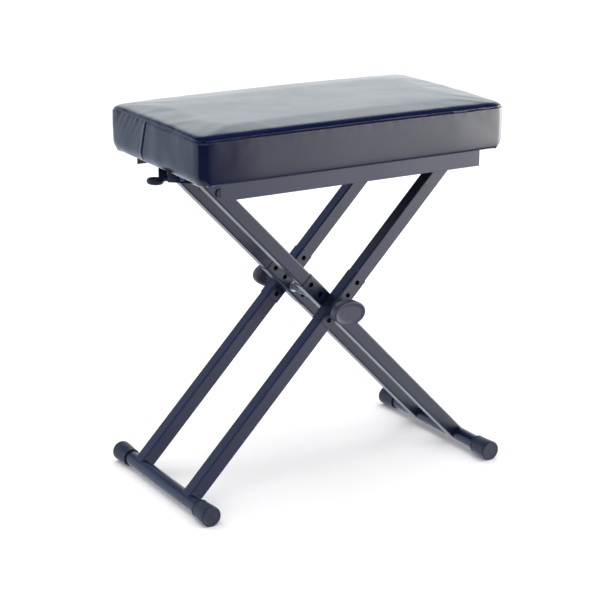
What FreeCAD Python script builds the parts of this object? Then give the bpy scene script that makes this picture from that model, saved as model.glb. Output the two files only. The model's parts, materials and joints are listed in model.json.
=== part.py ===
import FreeCAD, Part
import math
import os

# Folding double-X keyboard bench, in millimetres.
# X runs along the seat, -Y is the front, +Z is up. The origin is on the floor,
# under the middle of the seat.

# ---------------------------------------------------------------- seat
seat_length = 506.0
seat_width = 273.0
cushion_height = 65.5
cushion_corner = 15.0
cushion_edge = 6.0
cover_thickness = 1.5
cover_hem = 20.0
foam_clearance = 0.3
board_thickness = 12.0
board_inset = 4.0

# ---------------------------------------------------------------- seat rails
rail_length = 428.0
rail_height = 25.0
rail_wall = 2.5
rail_flange = 22.0
rail_setback = 7.5
rail_edge = 0.6
rail_screw_places = (-190.0, -25.0, 60.0, 165.0)

# ---------------------------------------------------------------- leg frames
leg_angle = 46.2
lower_length = 351.5
outer_upper_length = 279.0
inner_upper_length = 261.5
tube_depth = 21.5
tube_height = 21.5
tube_wall = 1.5
tube_corner = 2.0
outer_leg_face = 86.0
leg_gap = 3.0
outer_top_margin = 11.0
inner_top_margin = 28.0
seat_clearance = 0.25

# ---------------------------------------------------------------- foot bars and caps
foot_bar_diameter = 22.0
foot_bar_wall = 1.5
foot_cap_wall = 3.9
foot_cap_mouth_wall = 1.9
foot_cap_length = 36.0
foot_cap_straight = 13.0
foot_cap_mouth_straight = 2.5
foot_cap_edge = 1.8
foot_cap_end_wall = 5.0
foot_span = 290.0
slip_fit = 0.2

# ---------------------------------------------------------------- crossing
hole_spacing = 23.0
hole_steps = (-1, 0, 1, 2)
pivot_rod_diameter = 7.0
turning_fit = 0.4
sleeve_wall = 1.2
sleeve_margin = 10.0
sleeve_corner = 1.5
washer_diameter = 17.0
washer_thickness = 1.5
running_gap = 0.3
spring_wire = 1.6
spring_pitch = 5.0
spring_side_gap = 0.6
spring_end_gap = 0.1

# ---------------------------------------------------------------- clamp knobs
knob_length = 50.0
knob_width = 34.0
knob_head_depth = 13.0
knob_collar_growth = 1.2
knob_collar_depth = 5.0
knob_neck_diameter = 24.0
knob_neck_depth = 13.0
knob_edge = 3.0
insert_across_flats = 12.0
insert_depth = 8.0
rod_cover = 6.0

# ---------------------------------------------------------------- top rods
hinge_rod_diameter = 8.0
latch_rod_diameter = 8.0
bush_wall = 1.2
bush_stem = 4.0
bush_flange_diameter = 15.0
bush_flange_thickness = 1.0
spacer_diameter = 13.0
rod_cap_diameter = 13.0
rod_cap_depth = 1.8
rod_cap_recess = 0.9
rod_cap_edge = 0.6
plug_flange = 1.2
plug_gap = 0.6
plug_corner = 1.2

# ---------------------------------------------------------------- latch
bracket_width = 30.0
bracket_wall = 2.0
bracket_left_reach = 56.0
bracket_right_reach = 20.0
bracket_end_depth = 19.5
bracket_screw_inset = 9.0
bracket_screw_side_inset = 5.0
saddle_left_reach = 12.0
saddle_right_reach = 8.0
saddle_lip_depth = 4.0
latch_pin_offset = -34.0
latch_pin_height = 15.5
latch_pin_diameter = 5.0
latch_pin_head_diameter = 9.0
latch_pin_head_depth = 1.5
latch_pin_tail = 2.5
latch_clip_diameter = 10.0
latch_clip_thickness = 1.0
lever_thickness = 3.0
lever_height = 9.0
saddle_gap = 1.0
hook_side_gap = 4.5
hook_wall = 5.0
hook_floor_gap = 0.7
hook_floor = 4.5
hook_throat = 9.5
hook_reach = 2.0
hook_tip_run = 3.0
hook_tip_rise = 1.8
lever_knee = 10.0
lever_tail_drop = 0.5
lever_tail_height = 4.0
lever_tail_in_grip = 6.0
grip_length = 24.0
grip_width = 27.0
grip_depth = 7.5
grip_centre = -68.5
grip_drop = 3.0
grip_edge = 3.0
torsion_wire = 1.2
torsion_turns = 4
torsion_pitch = 1.5

# ---------------------------------------------------------------- fasteners
screw_diameter = 4.0
screw_head_diameter = 8.0
screw_head_depth = 2.2
screw_head_edge = 0.9
screw_bite = 9.0
screw_clearance = 0.5
staple_crown = 9.0
staple_wire = 0.7
staple_pitch = 22.0

# ---------------------------------------------------------------- worked-out places
ORIGIN = FreeCAD.Vector(0, 0, 0)
ALONG_X = FreeCAD.Vector(1, 0, 0)
ALONG_Y = FreeCAD.Vector(0, 1, 0)
ALONG_Z = FreeCAD.Vector(0, 0, 1)

slope_cos = math.cos(math.radians(leg_angle))
slope_sin = math.sin(math.radians(leg_angle))
foot_cap_bore = foot_bar_diameter + slip_fit
foot_height = foot_cap_bore / 2 + foot_cap_wall
foot_reach = lower_length * slope_cos
pivot_height = foot_height + lower_length * slope_sin
hinge_x = outer_upper_length * slope_cos
hinge_z = pivot_height + outer_upper_length * slope_sin
latch_x = -inner_upper_length * slope_cos
latch_z = pivot_height + inner_upper_length * slope_sin

leg_top_radius = math.hypot(outer_top_margin + plug_flange, tube_height / 2)
frame_top = hinge_z + leg_top_radius + seat_clearance + rail_wall
frame_bottom = frame_top - rail_height
cushion_top = frame_top + cushion_height
board_bottom = frame_top + cover_thickness
board_top = board_bottom + board_thickness
rail_face = seat_width / 2 - rail_setback
rail_inner_face = rail_face - rail_wall

outer_tube_y = outer_leg_face - tube_depth / 2
inner_tube_y = outer_tube_y - tube_depth - leg_gap
inner_leg_face = inner_tube_y + tube_depth / 2
inner_leg_back = inner_tube_y - tube_depth / 2
sleeve_outer_face = outer_leg_face + sleeve_wall
knob_start = sleeve_outer_face + washer_thickness + running_gap
knob_face = knob_start + knob_neck_depth + knob_collar_depth + knob_head_depth
rod_end = knob_face - rod_cover
pivot_hole = pivot_rod_diameter + turning_fit
bush_barrel = hinge_rod_diameter + turning_fit + 2 * bush_wall

plug_insert = outer_top_margin - bush_barrel / 2 - plug_gap
outer_top = outer_upper_length + outer_top_margin
inner_top = inner_upper_length + inner_top_margin
latch_pin_x = latch_x + latch_pin_offset
latch_pin_z = latch_z + latch_pin_height
saddle_edge = latch_z + latch_rod_diameter / 2 + saddle_gap
bracket_left = latch_x - bracket_left_reach
bracket_right = latch_x + bracket_right_reach
bracket_roof_left = max(bracket_left, -seat_length / 2 + cover_hem + slip_fit)


# ---------------------------------------------------------------- basic shapes
def block(x0, x1, y0, y1, z0, z1):
    return Part.makeBox(x1 - x0, y1 - y0, z1 - z0, FreeCAD.Vector(x0, y0, z0))


def round_edges(shape, direction, radius):
    edges = []
    for edge in shape.Edges:
        if len(edge.Vertexes) == 2:
            run = edge.Vertexes[1].Point - edge.Vertexes[0].Point
            if run.Length > 0 and run.normalize().cross(direction).Length < 1e-6:
                edges.append(edge)
    return shape.makeFillet(radius, edges)


def bar_along_y(x, z, diameter, y0, y1):
    return Part.makeCylinder(diameter / 2, y1 - y0, FreeCAD.Vector(x, y0, z), ALONG_Y)


def ring_along_y(x, z, outer, inner, y0, y1):
    solid = bar_along_y(x, z, outer, y0, y1)
    return solid.cut(bar_along_y(x, z, inner, y0 - 1, y1 + 1))


def bar_along_z(x, y, diameter, z0, z1):
    return Part.makeCylinder(diameter / 2, z1 - z0, FreeCAD.Vector(x, y, z0), ALONG_Z)


def joined(shapes):
    shape = shapes[0]
    for other in shapes[1:]:
        shape = shape.fuse(other)
    return shape.removeSplitter()


def flipped_in_y(shape):
    return shape.mirror(ORIGIN, ALONG_Y)


def both_sides(shape):
    return Part.makeCompound([shape, flipped_in_y(shape)])


def coil(mean_diameter, wire_diameter, pitch, height):
    """A round-wire coil that stands on its own axis, along +Z from the origin."""
    path = Part.makeHelix(pitch, height, mean_diameter / 2)
    start = FreeCAD.Vector(mean_diameter / 2, 0, 0)
    ring = Part.makeCircle(wire_diameter / 2, start, FreeCAD.Vector(0, 1, 0))
    return Part.Wire(path.Edges).makePipeShell([Part.Wire([ring])], True, True)


# ---------------------------------------------------------------- leg tubes, built flat along +X
# A leg lies along +X with the crossing at x = 0, its foot at -X and its top at +X.
def place_outer(shape):
    """Leans a flat piece to the right and lifts it to the crossing."""
    shape = shape.copy()
    shape.rotate(ORIGIN, ALONG_Y, -leg_angle)
    shape.translate(FreeCAD.Vector(0, 0, pivot_height))
    return shape


def place_inner(shape):
    """Leans a flat piece to the left and lifts it to the crossing."""
    return place_outer(shape).mirror(ORIGIN, ALONG_X)


def square_bar(x0, x1, y_middle, depth, height, corner):
    solid = block(x0, x1, y_middle - depth / 2, y_middle + depth / 2, -height / 2, height / 2)
    return round_edges(solid, ALONG_X, corner)


def square_tube(x0, x1, y_middle, depth, height, wall, corner):
    outside = square_bar(x0, x1, y_middle, depth, height, corner)
    inner_corner = max(corner - wall, 0.3)
    inside = square_bar(x0 - 1, x1 + 1, y_middle, depth - 2 * wall, height - 2 * wall, inner_corner)
    return outside.cut(inside)


def height_holes(shape, y_middle):
    """The row of pivot holes that sets the height of the bench."""
    reach = tube_depth
    for step in hole_steps:
        hole = bar_along_y(step * hole_spacing, 0, pivot_hole, y_middle - reach, y_middle + reach)
        shape = shape.cut(hole)
    return shape


def leg_tube(y_middle, upper_length, top_margin, rod_hole):
    tube = square_tube(-lower_length, upper_length + top_margin, y_middle,
                       tube_depth, tube_height, tube_wall, tube_corner)
    tube = height_holes(tube, y_middle)
    top = bar_along_y(upper_length, 0, rod_hole, y_middle - tube_depth, y_middle + tube_depth)
    saddle = bar_along_y(-lower_length, 0, foot_bar_diameter,
                         y_middle - tube_depth, y_middle + tube_depth)
    return tube.cut(top).cut(saddle)


def crossing_sleeve(y_middle):
    """A square sleeve that doubles the tube wall round its row of holes."""
    low = hole_steps[0] * hole_spacing - sleeve_margin
    high = hole_steps[-1] * hole_spacing + sleeve_margin
    growth = 2 * sleeve_wall
    outside = square_bar(low, high, y_middle, tube_depth + growth, tube_height + growth,
                         tube_corner + sleeve_wall)
    inside = square_bar(low - 1, high + 1, y_middle, tube_depth, tube_height, sleeve_corner)
    return height_holes(outside.cut(inside), y_middle)


def end_plug(y_middle, end):
    """A plastic plug pushed into the open top of a leg."""
    flange = square_bar(end, end + plug_flange, y_middle, tube_depth, tube_height, tube_corner)
    bore = tube_depth - 2 * tube_wall
    stem = square_bar(end - plug_insert, end, y_middle, bore, tube_height - 2 * tube_wall, plug_corner)
    return flange.fuse(stem).removeSplitter()


# ---------------------------------------------------------------- feet
def foot_bar(x):
    half = foot_span / 2 - foot_cap_end_wall
    return ring_along_y(x, foot_height, foot_bar_diameter, foot_bar_diameter - 2 * foot_bar_wall,
                        -half, half)


def foot_cap(x):
    """A rubber cap on the rear end of a foot bar, wider at its end than at its mouth."""
    end = foot_span / 2
    mouth = end - foot_cap_length
    bore = foot_cap_bore / 2
    outer = bore + foot_cap_wall
    lip = bore + foot_cap_mouth_wall
    inner_end = end - foot_cap_end_wall
    outline = [
        FreeCAD.Vector(0, inner_end, 0),
        FreeCAD.Vector(bore, inner_end, 0),
        FreeCAD.Vector(bore, mouth, 0),
        FreeCAD.Vector(lip, mouth, 0),
        FreeCAD.Vector(lip, mouth + foot_cap_mouth_straight, 0),
        FreeCAD.Vector(outer, end - foot_cap_straight, 0),
        FreeCAD.Vector(outer, end, 0),
        FreeCAD.Vector(0, end, 0),
        FreeCAD.Vector(0, inner_end, 0),
    ]
    solid = Part.Face(Part.makePolygon(outline)).revolve(ORIGIN, ALONG_Y, 360)
    rim = [edge for edge in solid.Edges
           if abs(edge.BoundBox.YMin - end) < 1e-6 and abs(edge.BoundBox.YMax - end) < 1e-6]
    solid = solid.makeFillet(foot_cap_edge, rim)
    solid.translate(FreeCAD.Vector(x, 0, foot_height))
    return solid


# ---------------------------------------------------------------- seat
def cushion_form(shrink, z0, z1, edge):
    half_x = seat_length / 2 - shrink
    half_y = seat_width / 2 - shrink
    solid = block(-half_x, half_x, -half_y, half_y, z0, z1)
    solid = round_edges(solid, ALONG_Z, cushion_corner - shrink)
    rim = [e for e in solid.Edges if e.BoundBox.ZMin > z1 - 1e-6]
    return solid.makeFillet(edge, rim)


def screw_holes(shape, places, z0, z1, diameter):
    for x, y in places:
        shape = shape.cut(bar_along_z(x, y, diameter, z0, z1))
    return shape


def rail_screw_centres():
    y = rail_inner_face - rail_flange / 2 + rail_wall / 2
    return [(x, side * y) for side in (-1, 1) for x in rail_screw_places]


def bracket_screw_centres():
    x_low = bracket_roof_left + bracket_screw_inset
    x_high = bracket_right - bracket_screw_inset
    y = bracket_width / 2 - bracket_wall - bracket_screw_side_inset
    return [(x_low, -y), (x_low, y), (x_high, -y), (x_high, y)]


def seat_cover():
    outside = cushion_form(0, frame_top, cushion_top, cushion_edge)
    inside = cushion_form(cover_thickness, board_bottom, cushion_top - cover_thickness,
                          cushion_edge - cover_thickness)
    half_x = seat_length / 2 - cover_hem
    half_y = seat_width / 2 - cover_hem
    mouth = block(-half_x, half_x, -half_y, half_y, frame_top - 1, board_bottom + 1)
    shell = outside.cut(inside).cut(mouth)
    hole = screw_diameter + screw_clearance
    return screw_holes(shell, rail_screw_centres(), frame_top - 1, board_bottom + 0.1, hole)


def seat_foam():
    shrink = cover_thickness + foam_clearance
    return cushion_form(shrink, board_top, cushion_top - shrink, cushion_edge - shrink)


def seat_board():
    shrink = cover_thickness + board_inset
    half_x = seat_length / 2 - shrink
    half_y = seat_width / 2 - shrink
    board = block(-half_x, half_x, -half_y, half_y, board_bottom, board_top)
    board = round_edges(board, ALONG_Z, cushion_corner - shrink)
    places = rail_screw_centres() + bracket_screw_centres()
    return screw_holes(board, places, board_bottom - 1, board_bottom + screw_bite,
                       screw_diameter + slip_fit)


def cover_staples():
    """Staple crowns that hold the hem of the cover under the board, at both short ends."""
    shapes = []
    x = seat_length / 2 - cover_hem / 2
    count = int((seat_width / 2 - cover_hem) / staple_pitch)
    for row in range(-count, count + 1):
        y = row * staple_pitch
        for side in (-1, 1):
            low = side * x - staple_wire / 2
            shapes.append(block(low, low + staple_wire, y - staple_crown / 2, y + staple_crown / 2,
                                frame_top - staple_wire, frame_top))
    return Part.makeCompound(shapes)


def seat_rail():
    """The rear rail: an angle with its web outside and its flange under the board."""
    half = rail_length / 2
    web = block(-half, half, rail_inner_face, rail_face, frame_bottom, frame_top)
    flange = block(-half, half, rail_face - rail_flange, rail_face, frame_top - rail_wall, frame_top)
    rail = round_edges(web.fuse(flange).removeSplitter(), ALONG_X, rail_edge)
    places = [centre for centre in rail_screw_centres() if centre[1] > 0]
    return screw_holes(rail, places, frame_top - rail_wall - 1, frame_top + 1,
                       screw_diameter + screw_clearance)


def board_screws(places, underside):
    shapes = []
    for x, y in places:
        head = bar_along_z(x, y, screw_head_diameter, underside - screw_head_depth, underside)
        rim = [e for e in head.Edges if e.BoundBox.ZMax < underside - screw_head_depth / 2]
        head = head.makeFillet(screw_head_edge, rim)
        shank = bar_along_z(x, y, screw_diameter, underside, board_bottom + screw_bite)
        shapes.append(head.fuse(shank))
    return Part.makeCompound(shapes)


# ---------------------------------------------------------------- top rods
def hinge_bushes(y_middle):
    """Two flanged bushes, one in each wall of an outer leg, that turn on the hinge rod."""
    bore = hinge_rod_diameter + turning_fit
    shapes = []
    for side in (-1, 1):
        face = y_middle + side * tube_depth / 2
        inner_end = face - side * (tube_wall + bush_stem)
        outer_end = face + side * bush_flange_thickness
        stem = bar_along_y(hinge_x, hinge_z, bush_barrel, min(face, inner_end), max(face, inner_end))
        flange = bar_along_y(hinge_x, hinge_z, bush_flange_diameter,
                             min(face, outer_end), max(face, outer_end))
        bush = stem.fuse(flange).removeSplitter()
        shapes.append(bush.cut(bar_along_y(hinge_x, hinge_z, bore, y_middle - tube_depth,
                                           y_middle + tube_depth)))
    return Part.makeCompound(shapes)


def hinge_spacer():
    start = outer_leg_face + bush_flange_thickness + running_gap
    return ring_along_y(hinge_x, hinge_z, spacer_diameter, hinge_rod_diameter + slip_fit,
                        start, rail_inner_face)


def latch_rod():
    end = inner_leg_face + rod_cap_recess
    return bar_along_y(latch_x, latch_z, latch_rod_diameter, -end, end)


def latch_rod_cap():
    end = inner_leg_face + rod_cap_depth
    cap = bar_along_y(latch_x, latch_z, rod_cap_diameter, inner_leg_face, end)
    pocket = bar_along_y(latch_x, latch_z, latch_rod_diameter + slip_fit,
                         inner_leg_face, inner_leg_face + rod_cap_recess)
    rim = [e for e in cap.Edges if e.BoundBox.YMin > end - 1e-6]
    return cap.makeFillet(rod_cap_edge, rim).cut(pocket)


# ---------------------------------------------------------------- crossing hardware
def crossing_ring(outer, inner, y0, y1):
    return ring_along_y(0, pivot_height, outer, inner, y0, y1)


def pivot_washer_inner():
    end = inner_leg_back - sleeve_wall - running_gap
    return crossing_ring(washer_diameter, pivot_hole, end - washer_thickness, end)


def pivot_washer_outer():
    return crossing_ring(washer_diameter, pivot_hole, sleeve_outer_face,
                         sleeve_outer_face + washer_thickness)


def pivot_spring():
    washer_face = inner_leg_back - sleeve_wall - running_gap - washer_thickness
    reach = washer_face - spring_wire / 2 - spring_end_gap
    mean = pivot_rod_diameter + 2 * spring_side_gap + spring_wire
    shape = coil(mean, spring_wire, spring_pitch, 2 * reach)
    shape.rotate(ORIGIN, ALONG_X, -90)
    shape.translate(FreeCAD.Vector(0, -reach, pivot_height))
    return shape


def oval(length, width, y0, y1):
    curve = Part.Ellipse(FreeCAD.Vector(length / 2, y0, 0), FreeCAD.Vector(0, y0, width / 2),
                         FreeCAD.Vector(0, y0, 0))
    face = Part.Face(Part.Wire([curve.toShape()]))
    return face.extrude(FreeCAD.Vector(0, y1 - y0, 0))


def hexagon(across_flats, y0, y1):
    corner = across_flats / math.sqrt(3)
    points = []
    for step in range(7):
        turn = math.radians(60 * step)
        points.append(FreeCAD.Vector(corner * math.cos(turn), y0, corner * math.sin(turn)))
    return Part.Face(Part.makePolygon(points)).extrude(FreeCAD.Vector(0, y1 - y0, 0))


def clamp_knob():
    """The rear clamp knob: a round neck, an oval collar and an oval head."""
    neck_end = knob_start + knob_neck_depth
    head_start = neck_end + knob_collar_depth
    neck = bar_along_y(0, 0, knob_neck_diameter, knob_start, neck_end + 1)
    collar = oval(knob_length + 2 * knob_collar_growth, knob_width + 2 * knob_collar_growth,
                  neck_end, head_start)
    head = oval(knob_length, knob_width, head_start - 1, knob_face)
    rim = [e for e in head.Edges if e.BoundBox.YMin > knob_face - 1e-6]
    head = head.makeFillet(knob_edge, rim)
    knob = joined([neck, collar, head])
    knob = knob.cut(bar_along_y(0, 0, pivot_rod_diameter + 2 * turning_fit, knob_start - 1,
                                rod_end + 1))
    knob = knob.cut(hexagon(insert_across_flats, knob_start - 1, knob_start + insert_depth))
    knob.translate(FreeCAD.Vector(0, 0, pivot_height))
    return knob


def knob_insert():
    nut = hexagon(insert_across_flats, knob_start, knob_start + insert_depth)
    nut = nut.cut(bar_along_y(0, 0, pivot_hole, knob_start - 1, knob_start + insert_depth + 1))
    nut.translate(FreeCAD.Vector(0, 0, pivot_height))
    return nut


# ---------------------------------------------------------------- latch
def latch_bracket():
    """An upside-down channel under the board; its low edge is a seat for the latch rod."""
    half = bracket_width / 2
    lip = latch_x + saddle_right_reach
    lip_end = latch_z - saddle_lip_depth
    outline = [
        FreeCAD.Vector(bracket_left, 0, frame_top),
        FreeCAD.Vector(bracket_left, 0, frame_top - bracket_end_depth),
        FreeCAD.Vector(latch_x - saddle_left_reach, 0, saddle_edge),
        FreeCAD.Vector(lip, 0, saddle_edge),
        FreeCAD.Vector(lip, 0, lip_end),
        FreeCAD.Vector(bracket_right, 0, lip_end),
        FreeCAD.Vector(bracket_right, 0, frame_top),
        FreeCAD.Vector(bracket_left, 0, frame_top),
    ]
    plate = Part.Face(Part.makePolygon(outline)).extrude(FreeCAD.Vector(0, bracket_wall, 0))
    plate.translate(FreeCAD.Vector(0, half - bracket_wall, 0))
    roof = block(bracket_roof_left, bracket_right, -half, half, frame_top - bracket_wall, board_bottom)
    bracket = joined([plate, flipped_in_y(plate), roof])
    bracket = bracket.cut(bar_along_y(latch_pin_x, latch_pin_z, latch_pin_diameter + slip_fit,
                                      -half - 1, half + 1))
    return screw_holes(bracket, bracket_screw_centres(), frame_top - bracket_wall - 1,
                       board_bottom + 1, screw_diameter + screw_clearance)


def latch_pin():
    half = bracket_width / 2
    shank = bar_along_y(latch_pin_x, latch_pin_z, latch_pin_diameter, -half, half + latch_pin_tail)
    head = bar_along_y(latch_pin_x, latch_pin_z, latch_pin_head_diameter,
                       -half - latch_pin_head_depth, -half)
    return shank.fuse(head).removeSplitter()


def latch_pin_clip():
    half = bracket_width / 2
    return ring_along_y(latch_pin_x, latch_pin_z, latch_clip_diameter,
                        latch_pin_diameter + slip_fit, half, half + latch_clip_thickness)


def latch_lever():
    """A flat lever: a tail for the grip, an arm over the rod and a hook below it."""
    half = lever_height / 2
    tail_end = latch_x + grip_centre - grip_length / 2 + lever_tail_in_grip
    hook_left = latch_x - hook_reach
    hook_inner = latch_x + latch_rod_diameter / 2 + hook_side_gap
    hook_outer = hook_inner + hook_wall
    hook_top = latch_z - latch_rod_diameter / 2 - hook_floor_gap
    throat_top = latch_z + latch_rod_diameter / 2 + hook_throat
    hook_bottom = hook_top - hook_floor
    tail_low = latch_pin_z - half - lever_tail_drop
    outline = [
        FreeCAD.Vector(tail_end, 0, tail_low),
        FreeCAD.Vector(latch_pin_x, 0, tail_low),
        FreeCAD.Vector(latch_pin_x + lever_knee, 0, throat_top),
        FreeCAD.Vector(hook_inner, 0, throat_top),
        FreeCAD.Vector(hook_inner, 0, hook_top),
        FreeCAD.Vector(hook_left, 0, hook_top),
        FreeCAD.Vector(hook_left, 0, hook_bottom + hook_tip_rise),
        FreeCAD.Vector(hook_left + hook_tip_run, 0, hook_bottom),
        FreeCAD.Vector(hook_outer, 0, hook_bottom),
        FreeCAD.Vector(hook_outer, 0, latch_pin_z + half),
        FreeCAD.Vector(latch_pin_x, 0, latch_pin_z + half),
        FreeCAD.Vector(tail_end, 0, tail_low + lever_tail_height),
        FreeCAD.Vector(tail_end, 0, tail_low),
    ]
    lever = Part.Face(Part.makePolygon(outline)).extrude(FreeCAD.Vector(0, lever_thickness, 0))
    lever.translate(FreeCAD.Vector(0, -lever_thickness / 2, 0))
    return lever.cut(bar_along_y(latch_pin_x, latch_pin_z, latch_pin_diameter + turning_fit,
                                 -lever_thickness, lever_thickness))


def latch_grip():
    """An oval finger pad moulded over the tail of the lever."""
    pad = Part.makeCylinder(grip_width / 2, grip_depth, FreeCAD.Vector(0, 0, -grip_depth / 2), ALONG_Z)
    rims = [e for e in pad.Edges if e.BoundBox.ZLength < 1e-6]
    pad = pad.makeFillet(grip_edge, rims)
    squeeze = FreeCAD.Matrix()
    squeeze.A11 = grip_length / grip_width
    pad = pad.transformGeometry(squeeze)
    pad.translate(FreeCAD.Vector(latch_x + grip_centre, 0, latch_pin_z - grip_drop))
    return pad.cut(latch_lever())


def latch_spring():
    """A torsion spring on the latch pin, beside the lever."""
    mean = latch_pin_diameter + 2 * torsion_wire
    shape = coil(mean, torsion_wire, torsion_pitch, torsion_turns * torsion_pitch)
    shape.rotate(ORIGIN, ALONG_X, -90)
    shape.translate(FreeCAD.Vector(latch_pin_x, lever_thickness / 2 + torsion_wire, latch_pin_z))
    return shape


# ---------------------------------------------------------------- all pieces, by node name
bush_hole = bush_barrel + slip_fit
latch_hole = latch_rod_diameter + slip_fit

rear_rail = seat_rail()
outer_rear_leg = place_outer(leg_tube(outer_tube_y, outer_upper_length, outer_top_margin, bush_hole))
inner_rear_leg = place_inner(leg_tube(inner_tube_y, inner_upper_length, inner_top_margin, latch_hole))
outer_rear_sleeve = place_outer(crossing_sleeve(outer_tube_y))
inner_rear_sleeve = place_inner(crossing_sleeve(inner_tube_y))
outer_rear_plug = place_outer(end_plug(outer_tube_y, outer_top))
inner_rear_plug = place_inner(end_plug(inner_tube_y, inner_top))
outer_rear_bushes = hinge_bushes(outer_tube_y)
left_cap_rear = foot_cap(-foot_reach)
right_cap_rear = foot_cap(foot_reach)
rear_knob = clamp_knob()
rear_insert = knob_insert()
hinge_rod = bar_along_y(hinge_x, hinge_z, hinge_rod_diameter, -rail_inner_face, rail_inner_face)
pivot_rod = bar_along_y(0, pivot_height, pivot_rod_diameter, -rod_end, rod_end)

nodes = {
    "seat_cover": seat_cover(),
    "seat_foam": seat_foam(),
    "seat_board": seat_board(),
    "cover_staples": cover_staples(),
    "front_rail": flipped_in_y(rear_rail),
    "rear_rail": rear_rail,
    "rail_screws": board_screws(rail_screw_centres(), frame_top - rail_wall),
    "hinge_rod": hinge_rod,
    "hinge_spacers": both_sides(hinge_spacer()),
    "latch_bracket": latch_bracket(),
    "bracket_screws": board_screws(bracket_screw_centres(), frame_top - bracket_wall),
    "latch_pin": latch_pin(),
    "latch_pin_clip": latch_pin_clip(),
    "latch_lever": latch_lever(),
    "latch_grip": latch_grip(),
    "latch_spring": latch_spring(),
    "outer_front_leg": flipped_in_y(outer_rear_leg),
    "outer_rear_leg": outer_rear_leg,
    "outer_front_sleeve": flipped_in_y(outer_rear_sleeve),
    "outer_rear_sleeve": outer_rear_sleeve,
    "outer_front_plug": flipped_in_y(outer_rear_plug),
    "outer_rear_plug": outer_rear_plug,
    "outer_front_bushes": flipped_in_y(outer_rear_bushes),
    "outer_rear_bushes": outer_rear_bushes,
    "left_foot_bar": foot_bar(-foot_reach),
    "left_cap_front": flipped_in_y(left_cap_rear),
    "left_cap_rear": left_cap_rear,
    "pivot_rod": pivot_rod,
    "pivot_spring": pivot_spring(),
    "inner_washers": both_sides(pivot_washer_inner()),
    "knob_washers": both_sides(pivot_washer_outer()),
    "inner_front_leg": flipped_in_y(inner_rear_leg),
    "inner_rear_leg": inner_rear_leg,
    "inner_front_sleeve": flipped_in_y(inner_rear_sleeve),
    "inner_rear_sleeve": inner_rear_sleeve,
    "inner_front_plug": flipped_in_y(inner_rear_plug),
    "inner_rear_plug": inner_rear_plug,
    "right_foot_bar": foot_bar(foot_reach),
    "right_cap_front": flipped_in_y(right_cap_rear),
    "right_cap_rear": right_cap_rear,
    "latch_rod": latch_rod(),
    "latch_rod_caps": both_sides(latch_rod_cap()),
    "front_knob": flipped_in_y(rear_knob),
    "front_knob_insert": flipped_in_y(rear_insert),
    "rear_knob": rear_knob,
    "rear_knob_insert": rear_insert,
}

os.makedirs("parts", exist_ok=True)
for name, shape in nodes.items():
    if not shape.isValid() or shape.Volume <= 0:
        raise ValueError("bad solid: " + name)
    shape.exportStep("parts/" + name + ".step")
    print(name, len(shape.Solids), round(shape.Volume, 1))
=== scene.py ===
"""Looks of a folding double-X keyboard bench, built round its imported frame. Lengths are in metres."""

import json
import math

import bmesh
import bpy
import numpy as np
from mathutils import Matrix, Vector, noise


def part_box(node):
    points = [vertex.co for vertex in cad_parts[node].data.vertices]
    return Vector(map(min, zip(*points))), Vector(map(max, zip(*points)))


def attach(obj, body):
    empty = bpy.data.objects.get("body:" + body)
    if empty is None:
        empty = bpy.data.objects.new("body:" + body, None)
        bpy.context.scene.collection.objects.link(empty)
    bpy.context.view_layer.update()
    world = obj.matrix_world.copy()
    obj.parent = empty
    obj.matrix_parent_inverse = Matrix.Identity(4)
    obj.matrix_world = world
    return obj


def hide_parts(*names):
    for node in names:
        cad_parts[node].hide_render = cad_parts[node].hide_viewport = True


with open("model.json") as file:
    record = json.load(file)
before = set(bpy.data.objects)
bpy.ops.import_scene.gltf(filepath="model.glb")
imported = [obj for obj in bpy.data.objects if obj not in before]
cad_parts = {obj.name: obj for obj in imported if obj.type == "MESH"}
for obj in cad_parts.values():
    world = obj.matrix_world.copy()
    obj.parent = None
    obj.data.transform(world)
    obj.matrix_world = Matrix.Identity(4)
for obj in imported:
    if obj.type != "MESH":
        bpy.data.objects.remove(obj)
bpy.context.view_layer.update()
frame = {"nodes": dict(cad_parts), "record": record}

MM = 0.001

# ---------------------------------------------------------------- places taken from the frame
cover_low, cover_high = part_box("seat_cover")
board_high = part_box("seat_board")[1]
knob_low, knob_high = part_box("rear_knob")
rear_cap_low, rear_cap_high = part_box("left_cap_rear")
right_cap_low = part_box("right_cap_rear")[0]
foot_low, foot_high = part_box("left_foot_bar")
grip_low, grip_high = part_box("latch_grip")
pivot_low, pivot_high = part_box("pivot_rod")

seat_half_x = (cover_high.x - cover_low.x) / 2
seat_half_y = (cover_high.y - cover_low.y) / 2
pivot_z = (pivot_low.z + pivot_high.z) / 2


# ---------------------------------------------------------------- modelling helpers
def only(piece):
    """Selects this piece alone and makes it active."""
    bpy.ops.object.select_all(action="DESELECT")
    piece.select_set(True)
    bpy.context.view_layer.objects.active = piece


def new_piece(name):
    """Names the primitive that was just added and puts its place into its mesh."""
    piece = bpy.context.active_object
    piece.name = name
    piece.data.name = name
    only(piece)
    bpy.ops.object.transform_apply(location=True, rotation=True, scale=True)
    return piece


def start_edit(piece, kind="FACE"):
    only(piece)
    bpy.ops.object.mode_set(mode="EDIT")
    bpy.ops.mesh.select_mode(type=kind)


def end_edit():
    bpy.ops.object.mode_set(mode="OBJECT")


def pick_faces(piece, wanted):
    """Selects the faces for which wanted(middle, normal) holds."""
    cage = bmesh.from_edit_mesh(piece.data)
    for face in cage.faces:
        face.select_set(False)
    for face in cage.faces:
        if wanted(face.calc_center_median(), face.normal):
            face.select_set(True)
    bmesh.update_edit_mesh(piece.data)


def pick_edges(piece, wanted):
    """Selects the edges for which wanted(one end, other end) holds."""
    cage = bmesh.from_edit_mesh(piece.data)
    for edge in cage.edges:
        edge.select_set(False)
    for edge in cage.edges:
        if wanted(edge.verts[0].co, edge.verts[1].co):
            edge.select_set(True)
    bmesh.update_edit_mesh(piece.data)


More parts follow.
